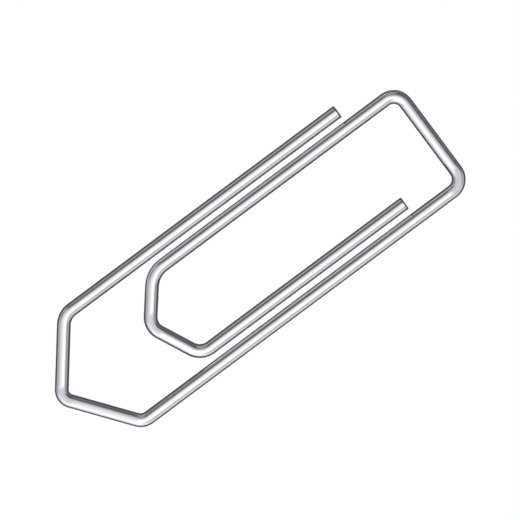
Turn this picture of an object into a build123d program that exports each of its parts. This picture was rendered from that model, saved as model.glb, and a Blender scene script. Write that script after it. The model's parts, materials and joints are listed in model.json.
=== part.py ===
from build123d import *
from math import atan2, cos, sin
import os

# Pointed paper clip: one length of round steel wire, bent eight times in one plane.
# It lies flat on Z = 0, with +X towards its square end, +Y towards its outer leg and +Z out of its face.
# The origin is under the middle of the clip's outline. All lengths are in millimetres.

# Wire
WIRE_DIAMETER = 1.0
TIP_ROUNDING = 0.06  # rim left by the shear on the two cut ends

# Outline, over the outside of the wire
CLIP_LENGTH = 33.0  # nose to square end
CLIP_WIDTH = 10.46  # outer leg to long leg

# Outer nose, between the corners of the wire's centreline
OUTER_NOSE_DEPTH = 3.70  # from the shoulder and the heel to the nose, along X
OUTER_NOSE_OFFSET = 0.08  # nose off the middle of the clip, towards the outer leg

# Inner loop, between the corners of the wire's centreline
INNER_LOOP_SETBACK = 6.84  # from the outer shoulder to the inner shoulder, along X
INNER_NOSE_DEPTH = 2.44  # from the inner shoulder to the inner nose, along X
INNER_HEEL_DEPTH = 1.76  # from the inner heel to the inner nose, along X
INNER_NOSE_OFFSET = 0.37  # nose off the middle of the inner loop, towards the inner leg

# Clear gaps between neighbouring legs
OUTER_LEG_GAP = 0.35  # outer leg to inner leg
LONG_LEG_GAP = 0.38  # tongue to long leg

# Cut ends, from the middle of the cross bar
OUTER_TIP_SETBACK = 4.24
TONGUE_TIP_SETBACK = 4.30

# Radii of the pins that the wire is bent round, in order along the wire
OUTER_SHOULDER_PIN = 0.90
OUTER_NOSE_PIN = 0.31
OUTER_HEEL_PIN = 0.54
LONG_LEG_CORNER_PIN = 0.58
INNER_LEG_CORNER_PIN = 0.54
INNER_SHOULDER_PIN = 1.54
INNER_NOSE_PIN = 0.68
INNER_HEEL_PIN = 0.81

# How far along a run that twists it is divided between two stretches of the wire
TWIST_PLACE_SHARE = 0.5

wire_radius = WIRE_DIAMETER / 2

# The four legs run along X at these distances from the middle of the clip
outer_leg_y = CLIP_WIDTH / 2 - wire_radius
long_leg_y = -outer_leg_y
inner_leg_y = outer_leg_y - WIRE_DIAMETER - OUTER_LEG_GAP
tongue_y = long_leg_y + WIRE_DIAMETER + LONG_LEG_GAP

# The outer nose is rounded off, so its corner lies past the end of the clip.
# Its bend is as far from that corner as the two slants and the pin make it.
cross_bar_x = CLIP_LENGTH / 2 - wire_radius
slant_to_shoulder = atan2(outer_leg_y - OUTER_NOSE_OFFSET, OUTER_NOSE_DEPTH)
slant_to_heel = atan2(OUTER_NOSE_OFFSET - long_leg_y, OUTER_NOSE_DEPTH)
nose_half_angle = (slant_to_shoulder + slant_to_heel) / 2
nose_lean = (slant_to_shoulder - slant_to_heel) / 2
outer_nose_radius = OUTER_NOSE_PIN + wire_radius
nose_bend_to_corner = outer_nose_radius * cos(nose_lean) / sin(nose_half_angle)
outer_nose_x = wire_radius + outer_nose_radius - CLIP_LENGTH / 2 - nose_bend_to_corner
outer_shoulder_x = outer_nose_x + OUTER_NOSE_DEPTH

inner_shoulder_x = outer_shoulder_x + INNER_LOOP_SETBACK
inner_nose_x = inner_shoulder_x - INNER_NOSE_DEPTH
inner_heel_x = inner_nose_x + INNER_HEEL_DEPTH
inner_nose_y = (inner_leg_y + tongue_y) / 2 + INNER_NOSE_OFFSET


def on_centreline(x, y):
    """Return the point at that place which is level with the middle of the wire."""
    return Vector(x, y, wire_radius)


def twist_place(start, end):
    """Return the point on a straight run where the wire twists as the clip opens."""
    return start + (end - start) * TWIST_PLACE_SHARE


def bend_radii(*pins):
    """Return the radius of the wire's centreline round each pin."""
    return [pin + wire_radius for pin in pins]


# Corners of the centreline, in order along the wire
outer_tip = on_centreline(cross_bar_x - OUTER_TIP_SETBACK, outer_leg_y)
outer_shoulder = on_centreline(outer_shoulder_x, outer_leg_y)
outer_nose = on_centreline(outer_nose_x, OUTER_NOSE_OFFSET)
outer_heel = on_centreline(outer_shoulder_x, long_leg_y)
long_leg_corner = on_centreline(cross_bar_x, long_leg_y)
inner_leg_corner = on_centreline(cross_bar_x, inner_leg_y)
inner_shoulder = on_centreline(inner_shoulder_x, inner_leg_y)
inner_nose = on_centreline(inner_nose_x, inner_nose_y)
inner_heel = on_centreline(inner_heel_x, tongue_y)
tongue_tip = on_centreline(cross_bar_x - TONGUE_TIP_SETBACK, tongue_y)

# Runs that twist, where one stretch of the wire hands over to the next
outer_slant_twist = twist_place(outer_shoulder, outer_nose)
cross_bar_twist = twist_place(long_leg_corner, inner_leg_corner)
inner_slant_twist = twist_place(inner_nose, inner_heel)

os.makedirs("parts", exist_ok=True)

# Outer leg: the free end of the outer loop, which springs up off the paper
with BuildPart() as outer_leg:
    with BuildLine() as outer_leg_path:
        FilletPolyline(
            outer_slant_twist,
            outer_shoulder,
            outer_tip,
            radius=bend_radii(OUTER_SHOULDER_PIN),
        )
    with BuildSketch(outer_leg_path.line ^ 0):
        Circle(wire_radius)
    sweep()
    fillet(outer_leg.faces().sort_by(Axis.X)[-1].edges(), TIP_ROUNDING)
outer_leg.part.label = "outer_leg"
export_step(outer_leg.part, "parts/outer_leg.step")

# Outer loop: the outer nose, the long leg and half of the cross bar, which lie on one side of the paper
with BuildPart() as outer_loop:
    with BuildLine() as outer_loop_path:
        FilletPolyline(
            outer_slant_twist,
            outer_nose,
            outer_heel,
            long_leg_corner,
            cross_bar_twist,
            radius=bend_radii(OUTER_NOSE_PIN, OUTER_HEEL_PIN, LONG_LEG_CORNER_PIN),
        )
    with BuildSketch(outer_loop_path.line ^ 0):
        Circle(wire_radius)
    sweep()
outer_loop.part.label = "outer_loop"
export_step(outer_loop.part, "parts/outer_loop.step")

# Inner loop: the other half of the cross bar, the inner leg and the inner nose, on the paper's other side
with BuildPart() as inner_loop:
    with BuildLine() as inner_loop_path:
        FilletPolyline(
            cross_bar_twist,
            inner_leg_corner,
            inner_shoulder,
            inner_nose,
            inner_slant_twist,
            radius=bend_radii(INNER_LEG_CORNER_PIN, INNER_SHOULDER_PIN, INNER_NOSE_PIN),
        )
    with BuildSketch(inner_loop_path.line ^ 0):
        Circle(wire_radius)
    sweep()
inner_loop.part.label = "inner_loop"
export_step(inner_loop.part, "parts/inner_loop.step")

# Tongue: the free end of the inner loop, which springs up off the paper
with BuildPart() as tongue:
    with BuildLine() as tongue_path:
        FilletPolyline(
            inner_slant_twist,
            inner_heel,
            tongue_tip,
            radius=bend_radii(INNER_HEEL_PIN),
        )
    with BuildSketch(tongue_path.line ^ 0):
        Circle(wire_radius)
    sweep()
    fillet(tongue.faces().sort_by(Axis.X)[-1].edges(), TIP_ROUNDING)
tongue.part.label = "tongue"
export_step(tongue.part, "parts/tongue.step")

# The wire's cut length, and each stretch's volume beside its section times its length
wire_section = Circle(wire_radius, mode=Mode.PRIVATE).area
wire_length = 0
for path, stretch in (
    (outer_leg_path, outer_leg),
    (outer_loop_path, outer_loop),
    (inner_loop_path, inner_loop),
    (tongue_path, tongue),
):
    stretch_length = sum(edge.length for edge in path.edges())
    wire_length += stretch_length
    swept_volume = wire_section * stretch_length
    print(f"{stretch.part.label}: volume {stretch.part.volume:.3f}, swept {swept_volume:.3f}")
print(f"wire length {wire_length:.2f}")
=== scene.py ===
"""Looks of a pointed paper clip: one bright plated wire, in the four stretches that spring apart.

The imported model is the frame: its boxes give the legs' places and its joints give the runs that twist.
Each stretch is bent as a wire bender bends it: a round section is fed straight and turned round pins.
All lengths in the classes are in millimetres and are turned into metres where a mesh is made.
"""

import json
import logging
import math
from dataclasses import dataclass, field
from enum import Enum

import bpy
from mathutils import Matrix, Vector


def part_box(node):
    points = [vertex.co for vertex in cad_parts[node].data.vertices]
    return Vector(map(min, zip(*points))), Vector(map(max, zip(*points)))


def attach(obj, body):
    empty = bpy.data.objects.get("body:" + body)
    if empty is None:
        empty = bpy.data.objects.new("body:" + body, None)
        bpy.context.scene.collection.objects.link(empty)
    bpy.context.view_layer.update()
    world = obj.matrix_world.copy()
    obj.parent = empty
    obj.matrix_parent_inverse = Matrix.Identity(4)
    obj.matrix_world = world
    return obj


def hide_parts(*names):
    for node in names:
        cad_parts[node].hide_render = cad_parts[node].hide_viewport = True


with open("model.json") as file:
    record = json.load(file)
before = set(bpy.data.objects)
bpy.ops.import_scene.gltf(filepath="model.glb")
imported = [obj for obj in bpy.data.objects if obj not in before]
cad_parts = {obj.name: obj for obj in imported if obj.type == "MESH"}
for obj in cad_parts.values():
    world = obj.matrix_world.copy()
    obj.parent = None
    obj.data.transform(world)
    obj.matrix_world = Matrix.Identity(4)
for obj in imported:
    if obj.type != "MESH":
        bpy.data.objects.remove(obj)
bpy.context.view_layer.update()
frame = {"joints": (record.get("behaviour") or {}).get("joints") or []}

LOG = logging.getLogger("paper_clip")
MM = 0.001
UP = Vector((0.0, 0.0, 1.0))

# Numbers of a Mix node's colour sockets, whose names its other sockets share
MIX_FIRST = 6
MIX_SECOND = 7
MIX_RESULT = 2

Colour = tuple[float, float, float, float]


class WireEnd(Enum):
    """How a stretch of the wire ends."""

    TWIST = "twist"
    CUT = "cut"


class Attribute(Enum):
    """What each point of the wire carries for its finish."""

    PLACE = "wire_place"
    STRAIN = "wire_strain"
    RUB = "wire_rub"


class Signal:
    """A node's output that takes part in sums, each of which adds a Math node."""

    def __init__(self, board: "NodeBoard", socket: bpy.types.NodeSocket) -> None:
        """Keep the board that holds the node, and its output."""
        self.board = board
        self.socket = socket

    def _sum(self, operation: str, first: object, second: object) -> "Signal":
        """Return the output of a new Math node on two values or signals.

        Args:
            operation: name of the Math node's operation.
            first: value or signal of its first socket.
            second: value or signal of its second socket.

        Returns:
            The new node's output.
        """
        return self.board.node("ShaderNodeMath", {"operation": operation}, {0: first, 1: second})

    def __add__(self, other: object) -> "Signal":
        """Return this plus other."""
        return self._sum("ADD", self, other)

    def __radd__(self, other: object) -> "Signal":
        """Return other plus this."""
        return self._sum("ADD", other, self)

    def __sub__(self, other: object) -> "Signal":
        """Return this less other."""
        return self._sum("SUBTRACT", self, other)

    def __rsub__(self, other: object) -> "Signal":
        """Return other less this."""
        return self._sum("SUBTRACT", other, self)

    def __mul__(self, other: object) -> "Signal":
        """Return this times other."""
        return self._sum("MULTIPLY", self, other)

    def __rmul__(self, other: object) -> "Signal":
        """Return other times this."""
        return self._sum("MULTIPLY", other, self)


class NodeBoard:
    """The node tree of one material or of the world, emptied and ready for new nodes."""

    def __init__(self, owner: bpy.types.Material | bpy.types.World) -> None:
        """Empty the owner's node tree and keep it."""
        owner.use_nodes = True
        self.tree = owner.node_tree
        self.tree.nodes.clear()

    def node(
        self,
        kind: str,
        settings: dict[str, object] | None = None,
        sockets: dict[str | int, object] | None = None,
        output: str | int = 0,
    ) -> Signal | None:
        """Add a node.

        Args:
            kind: the node's type.
            settings: its properties, set first.
            sockets: values or signals of its inputs, by name or number.
            output: the output that is returned.

        Returns:
            That output, or None on a node that has none.
        """
        made = self.tree.nodes.new(kind)
        for name, value in (settings or {}).items():
            setattr(made, name, value)
        for name, value in (sockets or {}).items():
            if isinstance(value, Signal):
                self.tree.links.new(value.socket, made.inputs[name])
            else:
                made.inputs[name].default_value = value
        return Signal(self, made.outputs[output]) if made.outputs else None


def soft_step(board: NodeBoard, value: Signal, start: float, end: float) -> Signal:
    """Return a signal that eases from 0 to 1 as the value goes from start to end."""
    sockets = {"Value": value, "From Min": start, "From Max": end}
    return board.node("ShaderNodeMapRange", {"interpolation_type": "SMOOTHSTEP"}, sockets)


def mix_colours(board: NodeBoard, factor: Signal, first: Colour | Signal, second: Colour) -> Signal:
    """Return a colour that goes from the first to the second as the factor goes from 0 to 1."""
    sockets = {"Factor": factor, MIX_FIRST: first, MIX_SECOND: second}
    return board.node("ShaderNodeMix", {"data_type": "RGBA"}, sockets, MIX_RESULT)


def wire_value(board: NodeBoard, attribute: Attribute, output: str = "Fac") -> Signal:
    """Return what the wire's points carry in an attribute."""
    return board.node("ShaderNodeAttribute", {"attribute_name": attribute.value}, output=output)


def scaled(board: NodeBoard, place: Signal, scale: tuple[float, float, float]) -> Signal:
    """Return a place scaled by its own factor in each direction."""
    return board.node("ShaderNodeVectorMath", {"operation": "MULTIPLY"}, {0: place, 1: scale})


def noise(board: NodeBoard, place: Signal, grain: float, detail: float) -> Signal:
    """Return noise with a grain of that size, and that many levels of finer detail."""
    sockets = {"Vector": place, "Scale": 1.0 / grain, "Detail": detail}
    return board.node("ShaderNodeTexNoise", sockets=sockets)


@dataclass(frozen=True)
class PlatedWire:
    """Bright plating over drawn steel: mirror-like, with faint lines along the wire.

    It is duller in clouds and where the metal is strained.
    It is grey where the plates that held the wire flat rubbed it.

    Attributes:
        roughness: roughness of plain plating.
        line_roughness: what the drawing lines add to it.
        bend_roughness: what full strain adds to it.
        rub_roughness: what a rubbed patch adds to it.
        rub_start: height above or below the wire's middle at which a rubbed patch starts.
        rub_full: height at which it is full.
        line_width: width of the drawing lines, and so on for their length, depth and detail.
        cloud_size: size of the dull clouds.
        strain_dullness: what full strain adds to the clouds.
        dull_start: level of the clouds at which the plating starts to be dull.
        dull_full: level at which it is fully dull.
    """

    name: str = "plated_wire"
    bright: Colour = (0.61, 0.613, 0.630, 1.0)
    dull: Colour = (0.575, 0.578, 0.596, 1.0)
    rubbed: Colour = (0.700, 0.705, 0.728, 1.0)
    roughness: float = 0.04
    line_roughness: float = 0.03
    bend_roughness: float = 0.06
    rub_roughness: float = 0.74
    rub_start: float = 0.44
    rub_full: float = 0.475
    line_width: float = 0.07
    line_length: float = 9.0
    line_depth: float = 0.0006
    line_detail: float = 3.0
    cloud_size: float = 2.4
    cloud_detail: float = 4.0
    strain_dullness: float = 0.25
    dull_start: float = 0.45
    dull_full: float = 0.75
    bump_strength: float = 0.3

    def material(self) -> bpy.types.Material:
        """Return the material, which reads the wire's own place, strain and rub attributes."""
        made = bpy.data.materials.new(self.name)
        board = NodeBoard(made)
        place = wire_value(board, Attribute.PLACE, "Vector")
        level = board.node("ShaderNodeSeparateXYZ", sockets={0: place}, output="Z")
        height = board.node("ShaderNodeMath", {"operation": "ABSOLUTE"}, {0: level})
        rub = wire_value(board, Attribute.RUB) * soft_step(board, height, self.rub_start, self.rub_full)
        drawn = scaled(board, place, (self.line_width / self.line_length, 1.0, 1.0))
        lines = noise(board, drawn, self.line_width, self.line_detail)
        clouds = noise(board, place, self.cloud_size, self.cloud_detail)
        worked = soft_step(board, wire_value(board, Attribute.STRAIN), 0.0, 1.0)
        dullness = soft_step(board, clouds + self.strain_dullness * worked, self.dull_start, self.dull_full)
        plating = mix_colours(board, dullness, self.bright, self.dull)
        roughness = self.roughness + self.line_roughness * lines + self.bend_roughness * worked
        bump = board.node(
            "ShaderNodeBump",
            sockets={"Strength": self.bump_strength, "Distance": self.line_depth * MM, "Height": lines},
        )
        shader = board.node(
            "ShaderNodeBsdfPrincipled",
            sockets={
                "Base Color": mix_colours(board, rub, plating, self.rubbed),
                "Metallic": 1.0,
                "Roughness": roughness + self.rub_roughness * rub,
                "Normal": bump,
            },
        )
        board.node("ShaderNodeOutputMaterial", sockets={"Surface": shader})
        return made


@dataclass(frozen=True)
class ShearedSteel:
    """Bare steel of a cut end: dull grey with the shear's lines, and painted dark round its rim, a painted
    reflection of the dark room.

    Attributes:
        clear_radius: distance from the wire's middle at which the painted dark reflection starts.
        painted_rim_full_radius: distance at which it is full.
        line_width: width of the shear's lines, and so on for their length, depth and detail.
    """

    name: str = "sheared_steel"
    bright: Colour = (0.50, 0.49, 0.48, 1.0)
    dark: Colour = (0.30, 0.29, 0.285, 1.0)
    # Painted reflection: near-black colour of the rim and the band behind it, standing in for the dark room
    # that they reflect
    painted_rim_reflection: Colour = (0.085, 0.086, 0.092, 1.0)
    clear_radius: float = 0.36
    painted_rim_full_radius: float = 0.46
    metallic: float = 0.4
    roughness: float = 0.36
    line_roughness: float = 0.18
    line_width: float = 0.03
    line_length: float = 0.6
    line_depth: float = 0.004
    line_detail: float = 3.0
    bump_strength: float = 0.6

    def material(self) -> bpy.types.Material:
        """Return the material, whose lines run up the cut face."""
        made = bpy.data.materials.new(self.name)
        board = NodeBoard(made)
        place = wire_value(board, Attribute.PLACE, "Vector")
        sheared = scaled(board, place, (1.0, 1.0, self.line_width / self.line_length))
        lines = noise(board, sheared, self.line_width, self.line_detail)
        across = scaled(board, place, (0.0, 1.0, 1.0))
        radius = board.node("ShaderNodeVectorMath", {"operation": "LENGTH"}, {0: across}, output="Value")
        # Mask of the painted dark reflection, by distance from the wire's middle
        painted_rim_mask = soft_step(board, radius, self.clear_radius, self.painted_rim_full_radius)
        steel = mix_colours(board, lines, self.bright, self.dark)
        bump = board.node(
            "ShaderNodeBump",
            sockets={"Strength": self.bump_strength, "Distance": self.line_depth * MM, "Height": lines},
        )
        shader = board.node(
            "ShaderNodeBsdfPrincipled",
            sockets={
                "Base Color": mix_colours(board, painted_rim_mask, steel, self.painted_rim_reflection),
                "Metallic": self.metallic,
                "Roughness": self.roughness + self.line_roughness * lines,
                "Normal": bump,
            },
        )
        board.node("ShaderNodeOutputMaterial", sockets={"Surface": shader})
        return made


@dataclass(frozen=True)
class MattePaper:
    """Matte paper of one plain colour, for the floor and the dark ring on it."""

    name: str
    colour: Colour

    def material(self) -> bpy.types.Material:
        """Return the material."""
        made = bpy.data.materials.new(self.name)
        board = NodeBoard(made)
        shader = board.node(
            "ShaderNodeBsdfPrincipled",
            sockets={"Base Color": self.colour, "Roughness": 1.0, "Specular IOR Level": 0.0},
        )
        board.node("ShaderNodeOutputMaterial", sockets={"Surface": shader})
        return made


@dataclass(frozen=True)
class Bend:
    """One bend of the wire.

    Attributes:
        corner: where the middles of the two runs would meet.
        pin: radius of the pin that the wire is bent round.
        rub: how much the plating is rubbed there, from 0 to 1.
        run_rub: how much it is rubbed on the run before the bend.
    """

    corner: Vector
    pin: float
    rub: float = 0.0
    run_rub: float = 0.0


@dataclass(frozen=True)
class Spot:
    """Where a point lies beside a run or a bend of the wire.

    Attributes:
        beyond: how far it is past the ends.
        along: how far along it is.
        left: how far it is to the left of the wire's middle.
        strain: strain of the metal there.
    """

    beyond: float
    along: float
    left: float
    strain: float


@dataclass(frozen=True)
class Run:
    """One straight run of the wire's middle line.

    Attributes:
        start: where it starts.
        end: where it ends.
        rub: how much its plating is rubbed, from 0 to 1.
    """

    start: Vector
    end: Vector
    rub: float

    @property
    def way(self) -> Vector:
        """Return the run's direction."""
        return (self.end - self.start).normalized()

    @property
    def length(self) -> float:
        """Return the run's length."""
        return (self.end - self.start).length

    def locate(self, point: Vector) -> Spot:
        """Say where a point lies beside the run.

        Args:
            point: the point.

        Returns:
            Its spot, where the metal isn't strained.
        """
        along = (point - self.start).dot(self.way)
        beyond = max(-along, along - self.length, 0.0)
        left = (point - self.start).dot(UP.cross(self.way))
        return Spot(beyond, along, left, 0.0)


@dataclass(frozen=True)
class Arc:
    """One bend of the wire's middle line.

    Attributes:
        centre: middle of the pin.
        start: where the bend starts.
        turn: its angle, in radians.
        side: 1 where it turns to the left, -1 to the right.
        rub: how much its plating is rubbed, from 0 to 1.
    """

    centre: Vector
    start: Vector
    turn: float
    side: int
    rub: float

    @property
    def radius(self) -> float:
        """Return the bend's radius."""
        return (self.start - self.centre).length

    @property
    def length(self) -> float:
        """Return the length of the wire's middle in the bend."""
        return self.radius * self.turn

    def locate(self, point: Vector) -> Spot:
        """Say where a point lies beside the bend.

        Args:
            point: the point.

        Returns:
            Its spot, where the metal is strained by its distance from the wire's middle.
        """
        first = (self.start - self.centre).to_2d()
        spoke = (point - self.centre).to_2d()
        angle = math.atan2(first.x * spoke.y - first.y * spoke.x, first.dot(spoke))
        along = angle * self.side * self.radius
        beyond = max(-along, along - self.length, 0.0)
        left = (self.radius - spoke.length) * self.side
        return Spot(beyond, along, left, abs(left) / self.radius)


@dataclass
class WireSizes:
    """Sizes of the wire and of how it is bent and cut, in millimetres and radians.

    Attributes:
        diameter: the wire's diameter.
        tip_rounding: radius of the rim of a cut end.
        dark_band: length of wire behind that rim that takes the cut end's finish and is painted dark there,
            a painted reflection of the dark room.
        shear_rim: width of the flat rim of a cut face, outside its dish.
        shear_dish: depth of the dish.
        feed_step: length of the mesh's faces along a run, as nearly as they fit.
        turn_step: angle of the mesh's faces round a bend, as nearly as they fit.
        least_turn_steps: the fewest faces round a bend.
        rub_fade: length of wire past a rubbed bend or run over which the rubbed plating fades out.
        twist_gap: gap between two stretches, so that their end faces turn without rubbing.
        merge_gap: distance within which two points of the mesh become one.
        smooth_angle: angle up to which neighbouring faces are shaded as one surface.
        sides: sides of the wire's round section.
        rounding_steps: faces across the rim of a cut end.
    """

    diameter: float
    tip_rounding: float = 0.06
    # Length of the band behind a cut end's rim that is painted dark, a painted reflection of the dark room
    dark_band: float = 0.07
    shear_rim: float = 0.10
    shear_dish: float = 0.02
    feed_step: float = 0.4
    turn_step: float = math.radians(5.0)
    least_turn_steps: int = 4
    rub_fade: float = 0.3
    twist_gap: float = 0.002
    merge_gap: float = 0.0005
    smooth_angle: float = math.radians(35.0)
    sides: int = 64
    rounding_steps: int = 5

    @property
    def radius(self) -> float:
        """Return the wire's radius."""
        return self.diameter / 2


@dataclass
class WireStretch:
    """One stretch of the wire, from one place where it twists to the next or to a cut end.

    Attributes:
        name: name of the CAD node that it stands for, and of the body that it rides on.
        sizes: the wire's sizes.
        start: middle of the wire where the stretch starts.
        bends: its bends, in order.
        finish: middle of the wire where it ends.
        last_end: how it ends there.
        last_rub: how much the plating of its last run is rubbed, from 0 to 1.
        fed: length of wire before its start.
        sense: 1 where it runs the way the wire was fed, -1 where it runs back.
        path: the runs and bends of its middle line, worked out from these.
    """

    name: str
    sizes: WireSizes
    start: Vector
    bends: list[Bend]
    finish: Vector
    last_end: WireEnd
    last_rub: float = 0.0
    fed: float = 0.0
    sense: int = 1
    path: list[Run | Arc] = field(default_factory=list)

    def __post_init__(self) -> None:
        """Work out the straight runs and the bends of the wire's middle line."""
        here = self._clear_of(self.start, self.bends[0].corner)
        finish = self.finish
        if self.last_end is WireEnd.TWIST:
            finish = self._clear_of(self.finish, self.bends[-1].corner)
        corners = [bend.corner for bend in self.bends] + [finish]
        for bend, following in zip(self.bends, corners[1:]):
            into = (bend.corner - here).normalized()
            out = (following - bend.corner).normalized()
            turn = into.angle(out)
            radius = bend.pin + self.sizes.radius
            set_back = radius * math.tan(turn / 2)
            first = bend.corner - into * set_back
            self.path.append(Run(here, first, bend.run_rub))
            side = 1 if UP.cross(into).dot(out) > 0.0 else -1
            self.path.append(Arc(first + UP.cross(into) * (radius * side), first, turn, side, bend.rub))
            here = bend.corner + out * set_back
        self.path.append(Run(here, finish, self.last_rub))

    def _clear_of(self, twist: Vector, corner: Vector) -> Vector:
        """Return the end of a run half a gap short of the place where the wire twists.

        Args:
            twist: that place.
            corner: corner of the bend at the run's other end.

        Returns:
            The middle of the wire there.
        """
        return twist + (corner - twist).normalized() * (self.sizes.twist_gap / 2)

    @property
    def length(self) -> float:
        """Return the length of the stretch along the wire's middle."""
        return sum(part.length for part in self.path)

    def build(self) -> bpy.types.Object:
        """Bend the wire.

        Returns:
            The stretch as a closed mesh, whose points carry their place on the wire, strain and rub.
        """
        first = self.path[0]
        bpy.ops.object.select_all(action="DESELECT")
        bpy.ops.mesh.primitive_circle_add(
            vertices=self.sizes.sides,
            radius=self.sizes.radius * MM,
            fill_type="NOTHING",
            location=first.start * MM,
            rotation=first.way.to_track_quat("Z", "Y").to_euler(),
        )
        piece = bpy.context.object
        piece.name = f"{self.name}_wire"
        piece.data.name = piece.name
        bpy.ops.object.transform_apply(location=True, rotation=True, scale=True)
        bpy.ops.object.mode_set(mode="EDIT")
        bpy.ops.mesh.select_mode(type="VERT")
        bpy.ops.mesh.select_all(action="SELECT")
        cut = self.last_end is WireEnd.CUT
        for part in self.path[:-1]:
            if isinstance(part, Run):
                self._feed(part.way, part.length)
            else:
                self._turn(part)
        last = self.path[-1]
        if cut:
            # The second feed makes the band that the cut end's painted dark reflection covers
            self._feed(last.way, last.length - self.sizes.dark_band - self.sizes.tip_rounding)
            self._feed(last.way, self.sizes.dark_band)
            self._round_tip(last)
        else:
            self._feed(last.way, last.length)
        self._close()
        bpy.ops.object.mode_set(mode="OBJECT")
        if cut:
            self._shear_face(piece)
        bpy.ops.object.shade_smooth_by_angle(angle=self.sizes.smooth_angle)
        self._mark_places(piece)
        return piece

    def _feed(self, way: Vector, length: float) -> None:
        """Feed the selected ring straight on, in steps.

        Args:
            way: the direction.
            length: how far.
        """
        steps = max(1, round(length / self.sizes.feed_step))
        for _ in range(steps):
            step = way * (length / steps * MM)
            bpy.ops.mesh.extrude_region_move(TRANSFORM_OT_translate={"value": step})

    def _turn(self, arc: Arc) -> None:
        """Turn the selected ring round a pin."""
        steps = max(self.sizes.least_turn_steps, round(arc.turn / self.sizes.turn_step))
        bpy.ops.mesh.spin(steps=steps, angle=-arc.turn * arc.side, center=arc.centre * MM, axis=UP)

    def _round_tip(self, run: Run) -> None:
        """Round the rim of the cut end, from the selected ring.

        Args:
            run: the last straight run.
        """
        way = run.way
        rounding = self.sizes.tip_rounding
        radius = self.sizes.radius
        depth = 0.0
        for step in range(1, self.sizes.rounding_steps + 1):
            angle = math.pi / 2 * step / self.sizes.rounding_steps
            next_depth = rounding * math.sin(angle)
            next_radius = self.sizes.radius - rounding * (1.0 - math.cos(angle))
            bpy.ops.mesh.extrude_region_move(
                TRANSFORM_OT_translate={"value": way * ((next_depth - depth) * MM)}
            )
            middle = run.end - way * (rounding - next_depth)
            scale = next_radius / radius
            bpy.ops.transform.resize(value=(scale, scale, scale), center_override=middle * MM)
            depth = next_depth
            radius = next_radius

    def _close(self) -> None:
        """Merge what lies together, close both ends of the tube and turn its faces outwards."""
        bpy.ops.mesh.select_all(action="SELECT")
        bpy.ops.mesh.remove_doubles(threshold=self.sizes.merge_gap * MM)
        bpy.ops.mesh.select_all(action="SELECT")
        bpy.ops.mesh.fill_holes(sides=0)
        bpy.ops.mesh.select_all(action="SELECT")
        bpy.ops.mesh.normals_make_consistent(inside=False)

    def _shear_face(self, piece: bpy.types.Object) -> None:
        """Sink the middle of the cut face, as a shear leaves it.

        Args:
            piece: the stretch, in object mode.
        """
        cut_end = self.path[-1].end * MM
        bpy.ops.object.mode_set(mode="EDIT")
        bpy.ops.mesh.select_mode(type="FACE")
        bpy.ops.mesh.select_all(action="DESELECT")
        bpy.ops.object.mode_set(mode="OBJECT")
        cut_face = min(piece.data.polygons, key=lambda face: (face.center - cut_end).length)
        cut_face.select = True
        bpy.ops.object.mode_set(mode="EDIT")
        bpy.ops.mesh.inset(thickness=self.sizes.shear_rim * MM, depth=-self.sizes.shear_dish * MM)
        bpy.ops.object.mode_set(mode="OBJECT")

    def _mark_places(self, piece: bpy.types.Object) -> None:
        """Give each point its place on the straight wire, in millimetres, its strain and its rub.

        Args:
            piece: the finished mesh.
        """
        mesh = piece.data
        mesh.attributes.new(Attribute.PLACE.value, "FLOAT_VECTOR", "POINT")
        mesh.attributes.new(Attribute.STRAIN.value, "FLOAT", "POINT")
        mesh.attributes.new(Attribute.RUB.value, "FLOAT", "POINT")
        places = mesh.attributes[Attribute.PLACE.value].data
        strains = mesh.attributes[Attribute.STRAIN.value].data
        rubs = mesh.attributes[Attribute.RUB.value].data
        for vertex in mesh.vertices:
            point = vertex.co / MM
            along, spot = self._locate(point)
            fed = self.fed + along * self.sense
            places[vertex.index].vector = (fed, spot.left * self.sense, point.z - self.start.z)
            strains[vertex.index].value = spot.strain
            rubs[vertex.index].value = self._rub(along)

    def _locate(self, point: Vector) -> tuple[float, Spot]:
        """Find the part of the path that a point of the mesh belongs to.

        Args:
            point: the point.

        Returns:
            How far along the stretch it is, and its spot beside that part.
        """
        best = (math.inf, Spot(0.0, 0.0, 0.0, 0.0))
        nearest = math.inf
        fed = 0.0
        for part in self.path:
            spot = part.locate(point)
            if abs(spot.left) < self.sizes.diameter and spot.beyond < nearest:
                nearest = spot.beyond
                best = (fed + spot.along, spot)
            fed += part.length
        return best

    def _rub(self, along: float) -> float:
        """Return how much the plating is rubbed at a length along the stretch, from 0 to 1."""
        most = 0.0
        fed = 0.0
        for part in self.path:
            beyond = max(fed - along, along - fed - part.length, 0.0)
            near = max(0.0, 1.0 - beyond / self.sizes.rub_fade)
            most = max(most, part.rub * near * near * (3.0 - 2.0 * near))
            fed += part.length
        return most

    def dress(
        self,
        piece: bpy.types.Object,
        plating: bpy.types.Material,
        steel: bpy.types.Material,
    ) -> None:
        """Give the stretch its finishes and put it on its body.

        Args:
            piece: the mesh from build.
            plating: finish of the wire.
            steel: finish of a cut end, whose rim and the band behind it are painted dark as a painted
                reflection.
        """
        piece.data.materials.append(plating)
        if self.last_end is WireEnd.CUT:
            piece.data.materials.append(steel)
            steel_slot = piece.data.materials.find(steel.name)
            last = self.path[-1]
            # The cut face, its rim and the band behind it take the steel finish; rim and band get its
            # painted dark reflection
            steel_and_dark_band = (self.sizes.tip_rounding + self.sizes.dark_band) * MM
            for face in piece.data.polygons:
                if (face.center - last.end * MM).dot(last.way) > -steel_and_dark_band:
                    face.material_index = steel_slot
        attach(piece, self.name)
        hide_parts(self.name)


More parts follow.
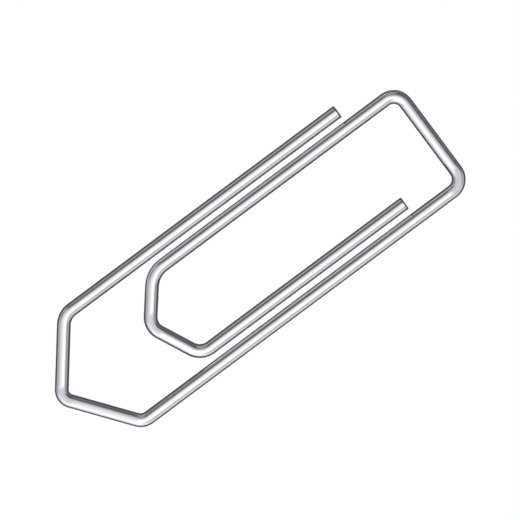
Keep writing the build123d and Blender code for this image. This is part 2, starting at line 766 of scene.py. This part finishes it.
@dataclass
class PaperClip:
    """The whole wire: corners from the frame's boxes and joints, and the pins that it is bent round.

    Attributes:
        inner_shoulder_setback: from the outer shoulder's corner to the inner shoulder's, along the legs.
        outer_nose_rub: how much the plating is rubbed in that bend, and so on for the next two.
        outer_slant_rub: how much it is rubbed on the slant after the outer nose.
        inner_slant_rub: how much it is rubbed on the slant after the inner nose.
    """

    inner_shoulder_setback: float = 6.84
    outer_nose_rub: float = 1.0
    long_leg_corner_rub: float = 1.0
    inner_nose_rub: float = 0.9
    outer_slant_rub: float = 0.75
    inner_slant_rub: float = 0.25
    outer_shoulder_pin: float = 0.90
    outer_nose_pin: float = 0.31
    outer_heel_pin: float = 0.54
    long_leg_corner_pin: float = 0.58
    inner_leg_corner_pin: float = 0.54
    inner_shoulder_pin: float = 1.54
    inner_nose_pin: float = 0.68
    inner_heel_pin: float = 0.81

    def stretches(self) -> list[WireStretch]:
        """Return the four stretches of the wire, in order from the outer leg's cut end."""
        outer_leg_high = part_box("outer_leg")[1] / MM
        outer_loop_low, outer_loop_high = (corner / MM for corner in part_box("outer_loop"))
        inner_loop_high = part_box("inner_loop")[1] / MM
        tongue_low, tongue_high = (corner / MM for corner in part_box("tongue"))
        sizes = WireSizes(diameter=outer_loop_high.z - outer_loop_low.z)
        radius = sizes.radius
        middle = outer_loop_low.z + radius
        outer_leg_y = outer_leg_high.y - radius
        long_leg_y = outer_loop_low.y + radius
        inner_leg_y = inner_loop_high.y - radius
        tongue_y = tongue_low.y + radius
        cross_bar_x = outer_loop_high.x - radius

        joints = {joint["name"]: joint for joint in frame["joints"]}
        outer_twist, outer_way = self._twist(joints["outer_leg_lift"])
        bar_twist, _ = self._twist(joints["loop_opening"])
        inner_twist, inner_way = self._twist(joints["tongue_lift"])

        outer_tip = Vector((outer_leg_high.x, outer_leg_y, middle))
        outer_shoulder = self._cross_leg(outer_twist, outer_way, outer_leg_y)
        outer_nose = 2 * outer_twist - outer_shoulder
        outer_heel = Vector((outer_shoulder.x, long_leg_y, middle))
        long_leg_corner = Vector((cross_bar_x, long_leg_y, middle))
        inner_leg_corner = Vector((cross_bar_x, inner_leg_y, middle))
        inner_shoulder = Vector((outer_shoulder.x + self.inner_shoulder_setback, inner_leg_y, middle))
        inner_heel = self._cross_leg(inner_twist, inner_way, tongue_y)
        inner_nose = 2 * inner_twist - inner_heel
        tongue_tip = Vector((tongue_high.x, tongue_y, middle))

        outer_leg = WireStretch(
            "outer_leg", sizes, outer_twist,
            [Bend(outer_shoulder, self.outer_shoulder_pin)],
            outer_tip, WireEnd.CUT, sense=-1,
        )
        outer_loop = WireStretch(
            "outer_loop", sizes, outer_twist,
            [
                Bend(outer_nose, self.outer_nose_pin, self.outer_nose_rub),
                Bend(outer_heel, self.outer_heel_pin, run_rub=self.outer_slant_rub),
                Bend(long_leg_corner, self.long_leg_corner_pin, self.long_leg_corner_rub),
            ],
            bar_twist, WireEnd.TWIST,
        )
        inner_loop = WireStretch(
            "inner_loop", sizes, bar_twist,
            [
                Bend(inner_leg_corner, self.inner_leg_corner_pin),
                Bend(inner_shoulder, self.inner_shoulder_pin),
                Bend(inner_nose, self.inner_nose_pin, self.inner_nose_rub),
            ],
            inner_twist, WireEnd.TWIST, last_rub=self.inner_slant_rub, fed=outer_loop.length,
        )
        tongue = WireStretch(
            "tongue", sizes, inner_twist,
            [Bend(inner_heel, self.inner_heel_pin, run_rub=self.inner_slant_rub)],
            tongue_tip, WireEnd.CUT, fed=outer_loop.length + inner_loop.length,
        )
        return [outer_leg, outer_loop, inner_loop, tongue]

    @staticmethod
    def _twist(joint: dict) -> tuple[Vector, Vector]:
        """Return the place of a joint, in millimetres, and the direction of the run that it is on."""
        return Vector(joint["pos_m"]) / MM, Vector(joint["axis"])

    @staticmethod
    def _cross_leg(place: Vector, way: Vector, leg_y: float) -> Vector:
        """Return where a slanted run through a place crosses the middle line of a leg.

        Args:
            place: a point on the run.
            way: the run's direction.
            leg_y: the leg's place across the clip.

        Returns:
            The corner between the two.
        """
        return place + way * ((leg_y - place.y) / way.y)


@dataclass(frozen=True)
class SoftDisc:
    """A round lamp or dark cloth of the set, far away, with a soft edge.

    Attributes:
        bearing: its direction round the clip, in degrees from +X towards +Y.
        elevation: its height above the horizon, in degrees.
        reach: angle from its middle to the middle of its soft edge, in degrees.
        feather: half the width of the soft edge, in degrees.
        strength: a lamp's brightness, where 1 is white, or the share of the light that a cloth takes.
    """

    bearing: float
    elevation: float
    reach: float
    feather: float
    strength: float = 1.0

    def cover(self, board: NodeBoard, direction: Signal) -> Signal:
        """Return the disc's strength in a direction.

        Args:
            board: the world's nodes.
            direction: the direction that is looked in.

        Returns:
            A signal that is the strength inside the disc and eases to 0 at its edge.
        """
        across = math.cos(math.radians(self.elevation))
        aim = (
            across * math.cos(math.radians(self.bearing)),
            across * math.sin(math.radians(self.bearing)),
            math.sin(math.radians(self.elevation)),
        )
        towards = board.node(
            "ShaderNodeVectorMath", {"operation": "DOT_PRODUCT"}, {0: direction, 1: aim}, output="Value"
        )
        outer = math.cos(math.radians(self.reach + self.feather))
        inner = math.cos(math.radians(self.reach - self.feather))
        return self.strength * soft_step(board, towards, outer, inner)


@dataclass(frozen=True)
class DarkFrame:
    """The dark frame round part of a lamp, which shows in the plating as a thin line.

    Attributes:
        lamp: the lamp.
        reach: angle from the lamp's middle to its frame, in degrees.
        width: width of the frame, in degrees.
        depth: share of the light that it takes.
        side: the side of the lamp that has the frame.
    """

    lamp: SoftDisc
    reach: float
    width: float
    depth: float
    side: SoftDisc

    def cover(self, board: NodeBoard, direction: Signal) -> Signal:
        """Return the share of the light that the frame takes in a direction.

        Args:
            board: the world's nodes.
            direction: the direction that is looked in.

        Returns:
            The share, from 0 to depth.
        """
        half = self.width / 2
        aim = (self.lamp.bearing, self.lamp.elevation)
        outer = SoftDisc(*aim, self.reach + half, half, self.depth)
        inner = SoftDisc(*aim, self.reach - half, half, self.depth)
        line = outer.cover(board, direction) - inner.cover(board, direction)
        return line * self.side.cover(board, direction)


@dataclass
class Studio:
    """The plain set: a pale floor well below the clip, a dark ring outside the picture, and soft lamps.

    Attributes:
        room: colour of the dim room between the lamps.
        drop: height of the clip above the floor, in millimetres.
        floor_size: side of the square floor.
        ring_margin: distance from the corners of the picture to the dark ring on the floor.
        ring_radius: radius of the ring's outer edge.
        ring_shift: how far the middle of that edge lies from the middle of the picture.
        ring_bearing: the direction of that shift, in degrees from +X towards +Y.
        ring_gap: height of the ring above the floor.
        ring_sides: sides of the ring's edges.
        haze: colour of the pale horizon.
        haze_low: height up to which the horizon is as pale as the floor, in degrees.
        haze_high: height from which the room is clear, in degrees.
        overhead: the lamp above the clip; the other lamps are named for their sides of the picture.
        back_cloth: the dark cloth in front of the back lamps, with two more beside it.
        frame_side: the side of the overhead lamp that has a dark frame.
        frame_reach: angle from that lamp's middle to the frame, in degrees.
        frame_width: width of the frame, in degrees.
        frame_depth: share of the light that the frame takes.
    """

    room: tuple[float, float, float] = (0.153, 0.156, 0.171)
    drop: float = 400.0
    floor_size: float = 80000.0
    ring_margin: float = 2.0
    ring_radius: float = 18000.0
    ring_shift: float = 16300.0
    ring_bearing: float = 56.0
    ring_gap: float = 1.0
    ring_sides: int = 96
    haze: Colour = (1.0, 1.0, 1.0, 1.0)
    haze_low: float = 2.2
    haze_high: float = 2.5
    floor_paper: MattePaper = MattePaper("pale_floor", (0.99, 0.985, 0.975, 1.0))
    ring_paper: MattePaper = MattePaper("dark_ring", (0.117, 0.119, 0.133, 1.0))
    overhead: SoftDisc = SoftDisc(bearing=315.5, elevation=79.5, reach=28.0, feather=23.0, strength=0.64)
    front: SoftDisc = SoftDisc(bearing=249.0, elevation=30.5, reach=55.5, feather=3.0, strength=0.42)
    left: SoftDisc = SoftDisc(bearing=182.0, elevation=61.0, reach=34.0, feather=20.5, strength=0.66)
    low_left: SoftDisc = SoftDisc(bearing=191.0, elevation=3.0, reach=45.0, feather=33.5, strength=0.67)
    right: SoftDisc = SoftDisc(bearing=281.0, elevation=21.5, reach=62.0, feather=8.5, strength=0.45)
    back: SoftDisc = SoftDisc(bearing=67.5, elevation=17.0, reach=26.0, feather=3.0, strength=1.10)
    back_left: SoftDisc = SoftDisc(bearing=122.5, elevation=26.0, reach=27.5, feather=3.0, strength=0.55)
    back_cloth: SoftDisc = SoftDisc(bearing=87.0, elevation=24.5, reach=15.0, feather=9.0, strength=0.74)
    corner_cloth: SoftDisc = SoftDisc(bearing=57.0, elevation=20.0, reach=19.0, feather=3.0, strength=0.64)
    left_cloth: SoftDisc = SoftDisc(bearing=132.5, elevation=25.0, reach=22.5, feather=3.0, strength=0.45)
    frame_side: SoftDisc = SoftDisc(bearing=293.0, elevation=40.0, reach=42.0, feather=10.0)
    frame_reach: float = 46.5
    frame_width: float = 6.0
    frame_depth: float = 0.85

    def build(self, camera: "PhotoCamera") -> None:
        """Lay the floor and the ring, and light them.

        Args:
            camera: the camera whose picture the ring stays out of.
        """
        self._floor()
        self._ring(camera)
        self._lamps()

    def _floor(self) -> None:
        """Lay the pale floor."""
        bpy.ops.object.select_all(action="DESELECT")
        bpy.ops.mesh.primitive_plane_add(size=self.floor_size * MM, location=(0.0, 0.0, -self.drop * MM))
        floor = bpy.context.object
        floor.name = "floor"
        floor.data.materials.append(self.floor_paper.material())

    def _ring(self, camera: "PhotoCamera") -> None:
        """Lay the dark ring, which only the plating reflects.

        Args:
            camera: the camera whose picture the ring stays out of.
        """
        bpy.ops.object.select_all(action="DESELECT")
        middle = Vector((camera.target_x, camera.target_y, self.ring_gap - self.drop))
        bearing = math.radians(self.ring_bearing)
        shift = Vector((math.cos(bearing), math.sin(bearing), 0.0)) * self.ring_shift
        flat_radius = self.ring_radius * math.cos(math.pi / self.ring_sides)
        inside = camera.half_diagonal(self.drop) + self.ring_margin
        bpy.ops.mesh.primitive_circle_add(
            vertices=self.ring_sides,
            radius=self.ring_radius * MM,
            fill_type="NGON",
            location=(middle + shift) * MM,
        )
        ring = bpy.context.object
        ring.name = "dark_ring"
        bpy.ops.object.mode_set(mode="EDIT")
        bpy.ops.mesh.select_all(action="SELECT")
        bpy.ops.mesh.inset(thickness=(flat_radius - inside) * MM)
        bpy.ops.transform.translate(value=-shift * MM)
        bpy.ops.mesh.delete(type="FACE")
        bpy.ops.object.mode_set(mode="OBJECT")
        ring.data.materials.append(self.ring_paper.material())
        ring.visible_camera = False
        ring.visible_diffuse = False
        ring.visible_shadow = False

    def _lamps(self) -> None:
        """Light the set with soft lamps, in a dim room whose horizon is as pale as the floor."""
        world = bpy.data.worlds.new("studio")
        bpy.context.scene.world = world
        board = NodeBoard(world)
        direction = board.node("ShaderNodeTexCoord", output="Generated")
        height = board.node("ShaderNodeSeparateXYZ", sockets={0: direction}, output="Z")
        light = 0.0
        lamps = (
            self.overhead, self.front, self.left, self.low_left, self.right, self.back, self.back_left,
        )
        for lamp in lamps:
            light = light + lamp.cover(board, direction)
        frame_line = DarkFrame(
            self.overhead, self.frame_reach, self.frame_width, self.frame_depth, self.frame_side
        )
        left_over = 1.0
        for cloth in (self.back_cloth, self.corner_cloth, self.left_cloth, frame_line):
            left_over = left_over * (1.0 - cloth.cover(board, direction))
        lamps_and_room = board.node("ShaderNodeVectorMath", {"operation": "ADD"}, {0: light, 1: self.room})
        lit_room = board.node(
            "ShaderNodeVectorMath", {"operation": "SCALE"}, {0: lamps_and_room, "Scale": left_over}
        )
        clear_height = math.sin(math.radians(self.haze_high))
        hazy_height = math.sin(math.radians(self.haze_low))
        haziness = soft_step(board, height, clear_height, hazy_height)
        colour = mix_colours(board, haziness, lit_room, self.haze)
        shader = board.node("ShaderNodeBackground", sockets={"Color": colour})
        board.node("ShaderNodeOutputWorld", sockets={"Surface": shader})


@dataclass
class PhotoCamera:
    """A camera straight above the clip, as in the photograph.

    Attributes:
        target_x: place under the middle of the picture, along the legs.
        target_y: the same, across the legs.
        picture_width: width of the picture at the middle of the wire.
        turn: turn of the picture about the line of sight, in degrees.
        lens: focal length.
        sensor: width of the sensor.
        clip_start: distance within which the camera sees nothing.
    """

    target_x: float = 1.007
    target_y: float = -0.453
    picture_width: float = 37.036
    turn: float = -36.66
    lens: float = 200.0
    sensor: float = 36.0
    clip_start: float = 10.0

    @property
    def distance(self) -> float:
        """Return the distance from the camera to the middle of the wire."""
        return self.picture_width * self.lens / self.sensor

    def half_diagonal(self, drop: float) -> float:
        """Return half the diagonal of what the square picture takes in, a drop below the wire."""
        return self.picture_width / math.sqrt(2.0) * (1.0 + drop / self.distance)

    def build(self, wire_middle: float) -> None:
        """Set up the camera.

        Args:
            wire_middle: height of the middle of the wire, in millimetres.
        """
        data = bpy.data.cameras.new("photo_camera")
        data.lens = self.lens
        data.sensor_width = self.sensor
        data.clip_start = self.clip_start * MM
        camera = bpy.data.objects.new("photo_camera", data)
        bpy.context.scene.collection.objects.link(camera)
        camera.location = Vector((self.target_x, self.target_y, wire_middle + self.distance)) * MM
        camera.rotation_euler = (0.0, 0.0, math.radians(self.turn))
        bpy.context.scene.camera = camera


def main() -> None:
    """Build the clip, its set and the camera, and report each piece."""
    logging.basicConfig(level=logging.INFO, format="%(name)s: %(message)s")
    bpy.context.scene.view_settings.view_transform = "Standard"
    plating = PlatedWire().material()
    steel = ShearedSteel().material()
    stretches = PaperClip().stretches()
    for stretch in stretches:
        piece = stretch.build()
        stretch.dress(piece, plating, steel)
        LOG.info("%s: %.2f mm of wire, %d faces", piece.name, stretch.length, len(piece.data.polygons))
    camera = PhotoCamera()
    camera.build(stretches[0].start.z)
    Studio().build(camera)


if __name__ == "__main__":
    main()
